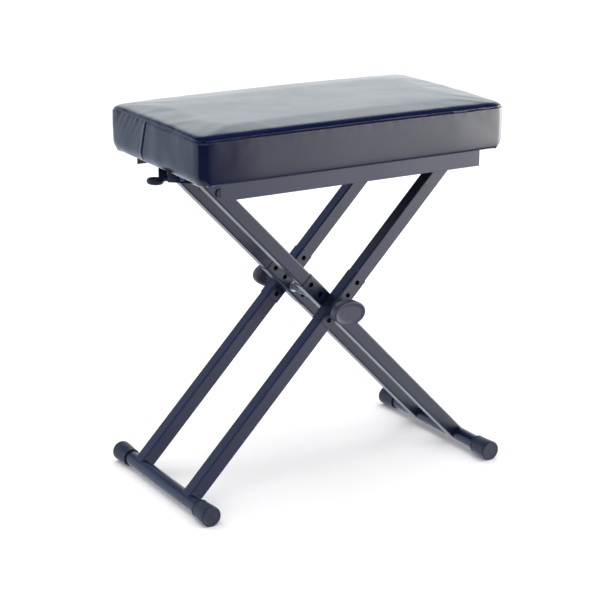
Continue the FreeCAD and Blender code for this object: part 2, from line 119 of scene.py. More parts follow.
def finish_with(piece, kind, **settings):
    """Adds a modifier, sets it and applies it."""
    only(piece)
    modifier = piece.modifiers.new(kind.title(), kind)
    for key, value in settings.items():
        setattr(modifier, key, value)
    bpy.ops.object.modifier_apply(modifier=modifier.name)


def smooth(piece, degrees=35):
    only(piece)
    bpy.ops.object.shade_smooth_by_angle(angle=math.radians(degrees))


def another(piece, name):
    twin = piece.copy()
    twin.data = piece.data.copy()
    twin.name = name
    twin.data.name = name
    bpy.context.scene.collection.objects.link(twin)
    return twin


def moved(piece, offset):
    """Moves a piece's own mesh."""
    piece.data.transform(Matrix.Translation(offset))
    return piece


def turned_about_z(piece, degrees):
    piece.data.transform(Matrix.Rotation(math.radians(degrees), 4, "Z"))
    return piece


def points_of(piece):
    co = np.zeros(len(piece.data.vertices) * 3, np.float32)
    piece.data.vertices.foreach_get("co", co)
    return co.reshape(-1, 3).astype(float)


def normals_of(piece):
    found = np.zeros(len(piece.data.vertices) * 3, np.float32)
    piece.data.vertices.foreach_get("normal", found)
    return found.reshape(-1, 3).astype(float)


def put_points(piece, co):
    piece.data.vertices.foreach_set("co", co.astype(np.float32).ravel())
    piece.data.update()


def step_up(value, low, high):
    """0 below low, 1 above high and a soft rise between."""
    share = np.clip((value - low) / (high - low), 0, 1)
    return share * share * (3 - 2 * share)


def hump(distance, width):
    return np.exp(-(distance / width) ** 2)


def ripple(co, size, shift=0.0):
    """Smooth noise from -1 to 1 at each point; size is how far apart its bumps are along X, Y and Z."""
    scale = np.array(size, float)
    return np.array([noise.noise(Vector(p)) for p in co / scale + shift])


def oval_stack(name, middle, along, rows, sides=64):
    """A piece turned like a lathe job, but oval.

    Each row is (distance along the axis, half width, half height) and along is "Y" or "Z". The first and
    last rows are closed with a face."""
    turn = (math.radians(90), 0, 0) if along == "Y" else (0, 0, 0)
    axis = Vector((0, 1, 0)) if along == "Y" else Vector((0, 0, 1))
    first = rows[0]
    bpy.ops.mesh.primitive_circle_add(vertices=sides, radius=1, fill_type="NGON",
                                      location=middle + axis * first[0], rotation=turn)
    piece = bpy.context.active_object
    piece.scale = (first[1], first[2], 1)
    piece = new_piece(name)
    start_edit(piece)
    bpy.ops.mesh.select_all(action="SELECT")
    last = first
    for row in rows[1:]:
        bpy.ops.mesh.extrude_region_move(
            TRANSFORM_OT_translate={"value": axis * (row[0] - last[0])})
        grow = (row[1] / last[1], 1, row[2] / last[2])
        if along == "Z":
            grow = (row[1] / last[1], row[2] / last[2], 1)
        bpy.ops.transform.resize(value=grow, center_override=middle + axis * row[0])
        last = row
    bpy.ops.mesh.select_all(action="SELECT")
    bpy.ops.mesh.normals_make_consistent(inside=False)
    end_edit()
    return piece


# ---------------------------------------------------------------- shader helpers
class Value:
    """One socket of a material, so that shader maths reads as an ordinary expression."""

    def __init__(self, finish, socket):
        self.finish = finish
        self.socket = socket

    def maths(self, operation, *terms):
        inputs = {index: term for index, term in enumerate(terms)}
        return self.finish.node("ShaderNodeMath", {"operation": operation}, inputs)

    def __add__(self, other):
        return self.maths("ADD", self, other)

    __radd__ = __add__

    def __sub__(self, other):
        return self.maths("SUBTRACT", self, other)

    def __rsub__(self, other):
        return self.maths("SUBTRACT", other, self)

    def __mul__(self, other):
        return self.maths("MULTIPLY", self, other)

    __rmul__ = __mul__

    def clear(self, low, high):
        """0 below low, 1 above high."""
        settings = {"interpolation_type": "SMOOTHSTEP"}
        return self.finish.node("ShaderNodeMapRange", settings,
                                {"Value": self, "From Min": low, "From Max": high})


class Nodes:
    """A cleared node tree and the one method that fills it."""

    def __init__(self, owner):
        owner.use_nodes = True
        self.tree = owner.node_tree
        self.tree.nodes.clear()

    def node(self, kind, settings=None, inputs=None, output=0):
        """Adds a node: its settings first, then the values or links of its sockets."""
        made = self.tree.nodes.new(kind)
        for key, value in (settings or {}).items():
            setattr(made, key, value)
        for key, value in (inputs or {}).items():
            if isinstance(value, Value):
                self.tree.links.new(value.socket, made.inputs[key])
            else:
                made.inputs[key].default_value = value
        return None if output is None else Value(self, made.outputs[output])

    def mix(self, share, first, second):
        """A colour between first and second."""
        inputs = {0: share, 6: first, 7: second}
        return self.node("ShaderNodeMix", {"data_type": "RGBA"}, inputs, output=2)


class Finish(Nodes):
    """A procedural material: one Principled shader and the nodes that vary it."""

    def __init__(self, name, **constants):
        self.material = bpy.data.materials.new(name)
        super().__init__(self.material)
        shader = self.node("ShaderNodeBsdfPrincipled")
        self.shader = shader.socket.node
        self.node("ShaderNodeOutputMaterial", {}, {"Surface": shader}, output=None)
        self.place = self.node("ShaderNodeTexCoord", output="Object")
        for key, value in constants.items():
            self.shader.inputs[key.replace("_", " ")].default_value = value

    def drive(self, socket, value):
        self.tree.links.new(value.socket, self.shader.inputs[socket])

    def speckle(self, size, detail=2.0, rough=0.5, place=None):
        """Soft noise whose blotches are about this many metres across."""
        return self.node("ShaderNodeTexNoise", {}, {"Vector": place or self.place, "Scale": 1 / size,
                                                    "Detail": detail, "Roughness": rough})

    def stretched(self, x, y, z):
        """Object coordinates stretched along each axis, for streaks and grain."""
        return self.node("ShaderNodeMapping", {}, {"Vector": self.place, "Scale": (x, y, z)})

    def bump(self, height, depth, strength=1.0):
        self.drive("Normal", self.node("ShaderNodeBump", {}, {"Height": height, "Distance": depth,
                                                              "Strength": strength}))


def vinyl():
    """Semi-gloss black upholstery vinyl with a fine pebbled grain and slightly duller worn patches."""
    finish = Finish("black_vinyl", Specular_IOR_Level=0.46, Coat_Roughness=0.22, Coat_IOR=1.5)
    pebbles = finish.node("ShaderNodeTexVoronoi", {"feature": "SMOOTH_F1"},
                          {"Vector": finish.place, "Scale": 1 / (0.9 * MM), "Smoothness": 0.6})
    pores = finish.speckle(0.35 * MM, detail=1)
    creases = finish.speckle(7 * MM, detail=3, rough=0.5)
    cloud = finish.speckle(60 * MM, detail=2)
    handled = cloud.clear(0.25, 0.80)
    tone = finish.mix(handled, (0.0022, 0.0027, 0.0110, 1), (0.0042, 0.0046, 0.0140, 1))
    finish.drive("Base Color", finish.mix(creases.clear(0.45, 0.80) * 0.3, tone, (0.006, 0.007, 0.016, 1)))
    finish.drive("Roughness", 0.24 + handled * 0.03 + creases * 0.01)
    finish.drive("Coat Weight", 0.20 - handled * 0.05)
    finish.bump(pebbles * 0.8 + pores * 0.15 + creases * 0.05, 0.08 * MM, 0.30)
    return finish.material


def foam():
    """Cut open-cell foam."""
    finish = Finish("cut_foam", Specular_IOR_Level=0.2)
    cells = finish.node("ShaderNodeTexVoronoi", {"feature": "F1"}, {"Vector": finish.place,
                                                                    "Scale": 1 / (1.1 * MM)})
    yellowed = finish.speckle(45 * MM, detail=4)
    pale = finish.mix(yellowed.clear(0.4, 0.7), (0.62, 0.58, 0.44, 1), (0.50, 0.42, 0.24, 1))
    finish.drive("Base Color", finish.mix(cells.clear(0.25, 0.6), pale, (0.24, 0.20, 0.12, 1)))
    finish.drive("Roughness", 0.86 + yellowed * 0.1)
    finish.bump(cells, 0.5 * MM, 0.8)
    return finish.material


def plywood():
    """Black-stained plywood: long face grain, thin dark veneer lines on the edge."""
    finish = Finish("stained_plywood", Specular_IOR_Level=0.3)
    grain = finish.speckle(4 * MM, detail=6, rough=0.65, place=finish.stretched(0.06, 1, 1))
    figure = finish.node("ShaderNodeTexWave", {"wave_type": "BANDS", "bands_direction": "Y"},
                         {"Vector": finish.stretched(0.15, 1, 1), "Scale": 14.0, "Distortion": 7.0,
                          "Detail": 3.0, "Detail Scale": 1.6})
    plies = finish.node("ShaderNodeTexWave", {"wave_type": "BANDS", "bands_direction": "Z"},
                        {"Vector": finish.place, "Scale": 130.0, "Distortion": 0.4})
    figured = grain.clear(0.35, 0.7) * 0.6 + figure * 0.3
    face = finish.mix(figured, (0.014, 0.012, 0.012, 1), (0.030, 0.026, 0.024, 1))
    finish.drive("Base Color", finish.mix(plies.clear(0.86, 0.98) * 0.5, face, (0.006, 0.005, 0.005, 1)))
    finish.drive("Roughness", 0.62 + grain * 0.2)
    finish.bump(grain, 0.25 * MM, 0.5)
    return finish.material


def powder_coat():
    """Satin black powder coat: orange peel, fine grit, faint dusty film and a few rubbed scratches."""
    finish = Finish("black_powder_coat", Specular_IOR_Level=0.76)
    peel = finish.speckle(1.9 * MM, detail=2)
    grit = finish.speckle(0.45 * MM, detail=1)
    film = finish.speckle(70 * MM, detail=5).clear(0.40, 0.72)
    scratches = finish.speckle(1.1 * MM, detail=3, place=finish.stretched(0.12, 1, 0.12)).clear(0.70, 0.78)
    tone = finish.mix(film, (0.0014, 0.0032, 0.0190, 1), (0.0038, 0.0056, 0.0220, 1))
    finish.drive("Base Color", finish.mix(scratches * 0.25, tone, (0.04, 0.04, 0.05, 1)))
    finish.drive("Roughness", 0.30 + film * 0.06 + grit * 0.08)
    finish.bump(peel * 0.7 + grit * 0.3 - scratches * 0.2, 0.06 * MM, 0.5)
    return finish.material


def zinc():
    """Bright zinc plate with fine drawn streaks and clouded patches."""
    finish = Finish("zinc_plate", Metallic=1.0)
    streaks = finish.speckle(0.6 * MM, detail=3, place=finish.stretched(1, 0.05, 1))
    cloud = finish.speckle(9 * MM, detail=5).clear(0.42, 0.70)
    finish.drive("Base Color", finish.mix(cloud, (0.50, 0.50, 0.51, 1), (0.36, 0.36, 0.37, 1)))
    finish.drive("Roughness", 0.30 + cloud * 0.16 + streaks * 0.10)
    finish.bump(streaks, 0.02 * MM, 0.5)
    return finish.material


def brass():
    finish = Finish("turned_brass", Metallic=1.0)
    turned = finish.speckle(0.5 * MM, detail=2, place=finish.stretched(0.1, 1, 0.1))
    tarnish = finish.speckle(5 * MM, detail=5).clear(0.45, 0.7)
    finish.drive("Base Color", finish.mix(tarnish, (0.72, 0.52, 0.22, 1), (0.38, 0.25, 0.10, 1)))
    finish.drive("Roughness", 0.22 + tarnish * 0.25 + turned * 0.08)
    finish.bump(turned, 0.02 * MM, 0.5)
    return finish.material


def moulded(name, dark, light, rough, texture):
    """Moulded plastic or rubber with a spark-eroded skin and faintly polished high spots."""
    finish = Finish(name, Specular_IOR_Level=0.5)
    skin = finish.speckle(texture, detail=3, rough=0.6)
    flow = finish.speckle(18 * MM, detail=4)
    finish.drive("Base Color", finish.mix(flow.clear(0.38, 0.68), (*dark, 1), (*light, 1)))
    finish.drive("Roughness", rough + flow * 0.08 - skin * 0.06)
    finish.bump(skin, 0.05 * MM, 0.6)
    return finish.material


def studio_paper():
    """Seamless pale paper under the bench."""
    finish = Finish("studio_paper", Specular_IOR_Level=0.05)
    fibres = finish.speckle(400 * MM, detail=3)
    finish.drive("Base Color", finish.mix(fibres, (0.93, 0.93, 0.94, 1), (0.95, 0.95, 0.95, 1)))
    finish.drive("Roughness", 0.9 + fibres * 0.05)
    return finish.material


FINISHES = {
    "vinyl": vinyl(),
    "foam": foam(),
    "plywood": plywood(),
    "black_steel": powder_coat(),
    "zinc": zinc(),
    "brass": brass(),
    "black_plastic": moulded("black_plastic", (0.006, 0.007, 0.020), (0.012, 0.013, 0.028), 0.42, 0.5 * MM),
    "knob_plastic": moulded("knob_plastic", (0.034, 0.035, 0.056), (0.046, 0.047, 0.066), 0.42, 0.4 * MM),
    "nylon": moulded("natural_nylon", (0.55, 0.53, 0.46), (0.68, 0.66, 0.60), 0.46, 0.6 * MM),
    "rubber": moulded("foot_rubber", (0.010, 0.014, 0.028), (0.017, 0.022, 0.038), 0.50, 0.7 * MM),
}


def dress(piece, slot):
    """Gives a new piece the finish of the record's slot."""
    piece.data.materials.clear()
    piece.data.materials.append(FINISHES[slot])


def dress_frame():
    """Gives every carried-over node the finish of its slot."""
    for subpart in frame["record"]["subparts"]:
        node = frame["nodes"][subpart["node"]]
        for material_slot in node.material_slots:
            material_slot.material = FINISHES[subpart["material_slot"]]


# ---------------------------------------------------------------- seat cushion
VOXEL = 5.7 * MM
CORNER = 15 * MM
TOP_EDGE = 4 * MM
BOTTOM_EDGE = 2.5 * MM
FULLNESS = 0.8 * MM
TOP_RISE = 3.5 * MM
CROWN = 3.0 * MM
BULGE = 1.0 * MM
STUFFING = 3.6 * MM
STUFFING_TAPER = 95 * MM
CORNER_DROP = 4 * MM
SKIN = 1.4 * MM
HEM = 20 * MM
HELD_HEIGHT = 14 * MM
SEAM_DROP = 3.4 * MM
PUFF_PRESSURE = 4.0
PUFF_FRAMES = 20
PUFF_LIMIT = 24 * MM
RIM_DEPTH = 40 * MM
RIM_EDGE = 6 * MM
FOOT_DEPTH = 14 * MM
FOOT_TUCK = 4.5 * MM
SEAM_DEPTH = 1.05 * MM
SEAM_WIDTH = 0.8 * MM
SEAM_LIP = 0.15 * MM
END_SEAM_DEPTH = 1.2 * MM
END_SEAM_WIDTH = 1.0 * MM
END_SEAM_LIP = 0.8 * MM
LIP_WIDTH = 2.4 * MM
PUCKER = 0.16 * MM
END_WAVE = 1.1 * MM
SIDE_WAVE = 0.30 * MM
TOP_WAVE = 0.40 * MM
TOP_CREASE = 0.10 * MM
HEM_FOLD = 0.7 * MM
HEM_FOLD_COUNT = 14
HEM_TRIM = 1.3 * MM
# how far behind the leaning seam each gather lies, its width and its depth, in mm
GATHERS = ((9, 4.5, 1.2), (22, 5.0, 1.7), (36, 4.2, 1.4), (48, 5.2, 1.8), (63, 4.6, 1.3), (77, 5.0, 1.5))
# where rows of edges are cut beside each seam, in mm
BAND_SEAM_ROWS = (-5.0, -3.0, -1.6, -0.8, 0.0, 0.8, 1.6)
END_SEAM_ROWS = (-3.0, -1.6, -0.8, 0.0, 0.8, 1.6, 3.0, 5.0)

band_seam_z = cover_high.z - SEAM_DROP
end_seam_top = Vector((0, 17.5 * MM, band_seam_z))
end_seam_foot = Vector((0, 35.7 * MM, cover_low.z))


def cushion_block():
    """The stuffed block before it swells: rounded upright corners, rounded rims."""
    size = cover_high - cover_low - Vector((-2 * FULLNESS, -2 * FULLNESS, -TOP_RISE))
    middle = (cover_low + cover_high) / 2 + Vector((0, 0, TOP_RISE / 2))
    bpy.ops.mesh.primitive_cube_add(size=1, location=middle, scale=size)
    block = new_piece("seat_cover_vinyl")
    top = middle.z + size.z / 2
    bottom = middle.z - size.z / 2
    start_edit(block, "EDGE")
    pick_edges(block, lambda a, b: abs(a.z - b.z) > size.z / 2)
    bpy.ops.mesh.bevel(offset=CORNER, segments=8, affect="EDGES")
    pick_edges(block, lambda a, b: min(a.z, b.z) > top - MM)
    bpy.ops.mesh.bevel(offset=TOP_EDGE, segments=6, affect="EDGES")
    pick_edges(block, lambda a, b: max(a.z, b.z) < bottom + MM)
    bpy.ops.mesh.bevel(offset=BOTTOM_EDGE, segments=4, affect="EDGES")
    end_edit()
    finish_with(block, "REMESH", mode="VOXEL", voxel_size=VOXEL)
    return block


def cloth_swell(block, rest):
    """Blows the block up as cloth, held down where it is stapled under the board."""
    held = block.vertex_groups.new(name="held")
    low = cover_low.z + HELD_HEIGHT
    held.add([index for index, point in enumerate(rest) if point[2] < low], 1.0, "REPLACE")
    only(block)
    cloth = block.modifiers.new("Cloth", "CLOTH")
    cloth.settings.use_pressure = True
    cloth.settings.uniform_pressure_force = PUFF_PRESSURE
    cloth.settings.vertex_group_mass = held.name
    cloth.settings.effector_weights.gravity = 0
    cloth.point_cache.frame_start = 1
    cloth.point_cache.frame_end = PUFF_FRAMES
    for step in range(1, PUFF_FRAMES + 1):
        bpy.context.scene.frame_set(step)
    bpy.ops.object.modifier_apply(modifier=cloth.name)
    bpy.context.scene.frame_set(1)
    block.vertex_groups.clear()
    swell = points_of(block) - rest
    length = np.linalg.norm(swell, axis=1)
    return swell * np.minimum(1, PUFF_LIMIT / np.maximum(length, 1e-9))[:, None]


def swell_cushion(block):
    """Swells the block and brings the swelling to the firm cushion's own crown and bulge."""
    rest = points_of(block)
    swell = cloth_swell(block, rest)
    swell[:, 0] *= BULGE / np.abs(swell[:, 0]).max()
    swell[:, 1] *= BULGE / np.abs(swell[:, 1]).max()
    swell[:, 2] *= CROWN / np.abs(swell[:, 2]).max()
    shape = rest + swell
    along = np.abs(shape[:, 0]) / seat_half_x
    across = np.abs(shape[:, 1]) / seat_half_y
    near_top = step_up(shape[:, 2], cover_high.z - RIM_DEPTH, cover_high.z - RIM_EDGE)
    shape[:, 2] -= CORNER_DROP * near_top * along ** 4 * across ** 2.5
    near_foot = 1 - step_up(shape[:, 2], cover_low.z, cover_low.z + FOOT_DEPTH)
    tuck = 1 - FOOT_TUCK / seat_half_x * near_foot * step_up(along, 0.9, 1.0)
    shape[:, 0] *= tuck
    end = np.clip((np.abs(shape[:, 0]) - seat_half_x + STUFFING_TAPER) / STUFFING_TAPER, 0, 1)
    shape[:, 1] += np.sign(shape[:, 1]) * STUFFING * (1 - end ** 2) * step_up(across, 0.6, 0.95)
    put_points(block, shape)
    finish_with(block, "SUBSURF", levels=1, render_levels=1)


def cut_loops(piece, place, normal, offsets, wanted=None):
    """Cuts straight rows of edges into the mesh, so that a narrow seam has points to stand on."""
    for offset in offsets:
        start_edit(piece)
        if wanted is None:
            bpy.ops.mesh.select_all(action="SELECT")
        else:
            pick_faces(piece, wanted)
        bpy.ops.mesh.bisect(plane_co=place + normal * offset, plane_no=normal)
        end_edit()


def end_seam_distance(co):
    """How far a point is behind the leaning seam on the left end."""
    run = (end_seam_foot - end_seam_top).normalized()
    across = np.array((0, -run.z, run.y))
    return (co - np.array(end_seam_top)) @ across


def sew_and_crease(cover):
    """Moves the skin in and out: seam grooves, puckers, gathers, hem folds and soft waves."""
    co = points_of(cover)
    normal = normals_of(cover)
    side = step_up(np.linalg.norm(normal[:, :2], axis=1), 0.55, 0.9)
    top = step_up(normal[:, 2], 0.6, 0.95)
    under = step_up(-normal[:, 2], 0.6, 0.95)
    left = step_up(-normal[:, 0], 0.75, 0.95)

    waver = 0.35 * MM * ripple(co, (45 * MM, 45 * MM, 1)) - 1.0 * MM * (np.abs(co[:, 0]) / seat_half_x) ** 3
    drop = co[:, 2] - band_seam_z - waver
    band = -SEAM_DEPTH * hump(drop, SEAM_WIDTH)
    band += SEAM_LIP * hump(drop + 3.0 * MM, LIP_WIDTH)
    below = step_up(-drop, 0, 2 * MM) * np.exp(np.minimum(drop, 0) / (9 * MM))
    pucker = PUCKER * ripple(co, (9 * MM, 9 * MM, 40 * MM), 3.0) * below * (1 + 2 * left)
    shift = side * (band + pucker)

    behind = end_seam_distance(co)
    lower = step_up(-drop, -1 * MM, 2 * MM)
    end_seam = -END_SEAM_DEPTH * hump(behind, END_SEAM_WIDTH)
    end_seam += END_SEAM_LIP * hump(behind - 3.2 * MM, LIP_WIDTH)
    shift += left * lower * end_seam
    slant = behind - 0.45 * np.maximum(-drop, 0)
    reach = np.exp(np.minimum(drop, 0) / (15 * MM)) * lower
    gathers = np.zeros(len(co))
    for place, width, depth in GATHERS:
        gathers -= depth * MM * hump(slant - place * MM, width * MM)
    shift += left * reach * gathers
    shift += left * END_WAVE * ripple(co, (60 * MM, 34 * MM, 46 * MM), 7.0)

    shift += side * SIDE_WAVE * ripple(co, (140 * MM, 60 * MM, 60 * MM), 11.0)
    shift += top * TOP_WAVE * ripple(co, (150 * MM, 60 * MM, 1), 5.0)
    shift += top * TOP_CREASE * ripple(co, (40 * MM, 24 * MM, 1), 9.0)

    corner_x = step_up(np.abs(co[:, 0]), seat_half_x - 30 * MM, seat_half_x - 16 * MM)
    corner_y = step_up(np.abs(co[:, 1]), seat_half_y - 30 * MM, seat_half_y - 16 * MM)
    turn = np.arctan2(seat_half_y - CORNER - np.abs(co[:, 1]), np.abs(co[:, 0]) - seat_half_x + CORNER)
    shift += under * corner_x * corner_y * HEM_FOLD * (1 + np.sin(turn * HEM_FOLD_COUNT))
    put_points(cover, co + normal * shift[:, None])


def cut_foam(cover):
    """The foam block that fills the cover, cut flat where it is glued to the board."""
    block = another(cover, "seat_foam_block")
    co = points_of(block) - normals_of(block) * (SKIN + 0.5 * MM)
    put_points(block, co)
    start_edit(block)
    bpy.ops.mesh.select_all(action="SELECT")
    bpy.ops.mesh.bisect(plane_co=(0, 0, board_high.z + 0.2 * MM), plane_no=(0, 0, 1), use_fill=True,
                        clear_inner=True)
    bpy.ops.mesh.select_all(action="SELECT")
    bpy.ops.mesh.normals_make_consistent(inside=False)
    end_edit()
    smooth(block)
    return block


def open_hem(cover):
    """Cuts the underside away inside the hem and gives the vinyl its thickness."""
    mouth_x = seat_half_x - HEM
    mouth_y = seat_half_y - HEM
    for sign in (-1, 1):
        cut_loops(cover, Vector((sign * mouth_x, 0, 0)), Vector((1, 0, 0)), [0],
                  lambda middle, normal: normal.z < -0.9)
        cut_loops(cover, Vector((0, sign * mouth_y, 0)), Vector((0, 1, 0)), [0],
                  lambda middle, normal: normal.z < -0.9)
    start_edit(cover)
    pick_faces(cover, lambda middle, normal: normal.z < -0.5 and abs(middle.x) < mouth_x
               and abs(middle.y) < mouth_y)
    bpy.ops.mesh.delete(type="FACE")
    end_edit()
    co = points_of(cover)
    near = (co[:, 2] < cover_low.z + 3 * MM) & (np.abs(co[:, 0]) < mouth_x + 8 * MM)
    near &= np.abs(co[:, 1]) < mouth_y + 8 * MM
    trim = ripple(co, (16 * MM, 16 * MM, 1), 21.0) * HEM_TRIM
    at_end = step_up(np.abs(co[:, 0]), mouth_x - MM, mouth_x)
    at_side = step_up(np.abs(co[:, 1]), mouth_y - MM, mouth_y)
    co[:, 0] += near * at_end * np.sign(co[:, 0]) * trim
    co[:, 1] += near * at_side * np.sign(co[:, 1]) * trim
    put_points(cover, co)
    finish_with(cover, "SOLIDIFY", thickness=SKIN, offset=-1, use_quality_normals=True)


def seat_cushion():
    cover = cushion_block()
    swell_cushion(cover)
    cut_loops(cover, Vector((0, 0, band_seam_z)), Vector((0, 0, 1)),
              [step * MM for step in BAND_SEAM_ROWS])
    run = (end_seam_foot - end_seam_top).normalized()
    cut_loops(cover, end_seam_top, Vector((0, -run.z, run.y)),
              [step * MM for step in END_SEAM_ROWS],
              lambda middle, normal: normal.x < -0.7 and middle.z < band_seam_z + 2 * MM)
    sew_and_crease(cover)
    block = cut_foam(cover)
    open_hem(cover)
    smooth(cover, 50)
    dress(cover, "vinyl")
    dress(block, "foam")
    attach(cover, "seat")
    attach(block, "seat")
    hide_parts("seat_cover")
    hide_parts("seat_foam")


# ---------------------------------------------------------------- clamp knobs
def clamp_knob():
    """The rear knob: round neck, flared collar and a wider oval head with a crisp rim and a flat face."""
    start = knob_low.y
    depth = knob_high.y - start
    half_x = (knob_high.x - knob_low.x) / 2
    half_z = (knob_high.z - knob_low.z) / 2
    neck = 12 * MM
    collar = 13 * MM
    head = 16.5 * MM
    rows = [
        (7.9 * MM, 5.2 * MM, 5.2 * MM),
        (0.0, 6.4 * MM, 6.4 * MM),
        (0.0, neck - 0.8 * MM, neck - 0.8 * MM),
        (0.8 * MM, neck, neck),
        (9.5 * MM, neck, neck),
        (11.5 * MM, neck + 1.2 * MM, neck + 0.6 * MM),
        (collar, neck + 6 * MM, neck + 2.5 * MM),
        (collar + 0.4 * MM, half_x - 3.6 * MM, half_z - 3.2 * MM),
        (collar + 1.2 * MM, half_x - 2.6 * MM, half_z - 2.4 * MM),
        (head - 0.8 * MM, half_x - 2.6 * MM, half_z - 2.4 * MM),
        (head - 0.1 * MM, half_x - 1.6 * MM, half_z - 1.4 * MM),
        (head + 0.6 * MM, half_x - 0.5 * MM, half_z - 0.5 * MM),
        (head + 1.6 * MM, half_x, half_z),
        (depth - 1.3 * MM, half_x, half_z),
        (depth - 0.6 * MM, half_x - 0.25 * MM, half_z - 0.25 * MM),
        (depth - 0.15 * MM, half_x - 0.8 * MM, half_z - 0.8 * MM),
        (depth, half_x - 1.5 * MM, half_z - 1.5 * MM),
        (depth, half_x - 2.6 * MM, half_z - 2.6 * MM),
        (depth - 0.35 * MM, half_x - 3.2 * MM, half_z - 3.2 * MM),
        (depth - 0.45 * MM, half_x - 8.0 * MM, half_z - 8.0 * MM),
        (depth - 0.40 * MM, 4 * MM, 2 * MM),
    ]
    knob = oval_stack("rear_clamp_knob", Vector((0, start, pivot_z)), "Y", rows, sides=72)
    smooth(knob, 30)
    return knob


def clamp_knobs():
    rear = clamp_knob()
    front = turned_about_z(another(rear, "front_clamp_knob"), 180)
    for knob, body in ((rear, "rear_knob"), (front, "front_knob")):
        dress(knob, "knob_plastic")
        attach(knob, body)
        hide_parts(body)


# ---------------------------------------------------------------- rubber foot caps
def foot_cap():
    """The rear left cap: a rolled mouth, a sleeve that widens to the end and a shallow dished end."""
    middle_x = (rear_cap_low.x + rear_cap_high.x) / 2
    middle_z = (rear_cap_low.z + rear_cap_high.z) / 2
    radius = (rear_cap_high.z - rear_cap_low.z) / 2
    length = rear_cap_high.y - rear_cap_low.y
    bore = (foot_high.z - foot_low.z) / 2 + 0.1 * MM
    lip = bore + 1.9 * MM
    wall_end = length - 5 * MM
    flat = length - 13 * MM
    profile = [
        (wall_end, 0.6 * bore),
        (wall_end, bore),
        (0.6 * MM, bore),
        (0.1 * MM, bore + 0.4 * MM),
        (0.0, bore + 0.9 * MM),
        (0.2 * MM, lip),
        (0.9 * MM, lip + 0.55 * MM),
        (1.9 * MM, lip + 0.6 * MM),
        (2.7 * MM, lip + 0.1 * MM),
        (3.2 * MM, lip),
        (8.0 * MM, lip + 0.55 * MM),
        (flat, radius - 0.45 * MM),
        (length - 5.0 * MM, radius - 0.05 * MM),
        (length - 1.3 * MM, radius),
        (length - 0.6 * MM, radius - 0.2 * MM),
        (length - 0.15 * MM, radius - 0.7 * MM),
        (length, radius - 1.4 * MM),
        (length, radius - 2.4 * MM),
        (length - 0.4 * MM, radius - 3.0 * MM),
        (length - 0.5 * MM, 3.0 * MM),
        (length - 0.4 * MM, 1.4 * MM),
    ]
    rows = [(along, r, r) for along, r in profile]
    start = Vector((middle_x, rear_cap_low.y, middle_z))
    cap = oval_stack("left_foot_cap_rear", start, "Y", rows, sides=56)
    smooth(cap, 30)
    return cap


def foot_caps():
    left_rear = foot_cap()
    across = Vector((right_cap_low.x - rear_cap_low.x, 0, 0))
    right_rear = moved(another(left_rear, "right_foot_cap_rear"), across)
    right_front = turned_about_z(another(left_rear, "right_foot_cap_front"), 180)
    left_front = turned_about_z(another(right_rear, "left_foot_cap_front"), 180)
    for cap, body, node in ((left_rear, "outer_legs", "left_cap_rear"),
                            (left_front, "outer_legs", "left_cap_front"),
                            (right_rear, "inner_legs", "right_cap_rear"),
                            (right_front, "inner_legs", "right_cap_front")):
        dress(cap, "rubber")
        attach(cap, body)
        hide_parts(node)


# ---------------------------------------------------------------- latch grip
def latch_grip():
    """The oval finger pad on the tail of the latch lever, dished on top."""
    middle = (grip_low + grip_high) / 2
    half_x = (grip_high.x - grip_low.x) / 2
    half_y = (grip_high.y - grip_low.y) / 2
    half_z = (grip_high.z - grip_low.z) / 2
    rows = [(-half_z, 2 * MM, 2 * MM)]
    for step in range(9):
        turn = math.pi * (step / 8 - 0.5)
        inset = 3.2 * MM * (1 - math.cos(turn))
        rows.append((half_z * math.sin(turn), half_x - inset, half_y - inset))
    rows.append((half_z - 0.3 * MM, half_x - 5.0 * MM, half_y - 5.0 * MM))
    rows.append((half_z - 1.1 * MM, half_x - 7.5 * MM, half_y - 7.5 * MM))
    rows.append((half_z - 1.3 * MM, 1.5 * MM, 1.5 * MM))
    pad = oval_stack("latch_finger_pad", middle, "Z", rows, sides=48)
    smooth(pad, 40)
    dress(pad, "black_plastic")
    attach(pad, "latch_lever")
    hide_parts("latch_grip")


# ---------------------------------------------------------------- floor, light and camera
CAMERA_PLACE = Vector((-1.3637, -2.2334, 1.0781))
CAMERA_TURN = math.radians(31.334)
CAMERA_DIP = math.radians(17.576)
CAMERA_ROLL = math.radians(0.375)
CAMERA_LENS = 108.24
SENSOR = 36.0


def place_camera():
    lens = bpy.data.cameras.new("camera")
    lens.lens = CAMERA_LENS
    lens.sensor_width = SENSOR
    lens.clip_end = 50
    camera = bpy.data.objects.new("camera", lens)
    bpy.context.scene.collection.objects.link(camera)
    ahead = Vector((math.sin(CAMERA_TURN) * math.cos(CAMERA_DIP),
                    math.cos(CAMERA_TURN) * math.cos(CAMERA_DIP), -math.sin(CAMERA_DIP)))
    level = Vector((math.cos(CAMERA_TURN), -math.sin(CAMERA_TURN), 0))
    upright = level.cross(ahead)
    right = level * math.cos(CAMERA_ROLL) + upright * math.sin(CAMERA_ROLL)
    up = upright * math.cos(CAMERA_ROLL) - level * math.sin(CAMERA_ROLL)
    turn = Matrix((right, up, -ahead)).transposed().to_4x4()
    camera.matrix_world = Matrix.Translation(CAMERA_PLACE) @ turn
    bpy.context.scene.camera = camera


SOFTBOX_PLACE = Vector((0, 0.2, 3.0))
SOFTBOX_TARGET = Vector((0, 0, 0.3))
SOFTBOX_SIDE = 3.0
SOFTBOX_POWER = 45
FLOOR_SIDE = 12


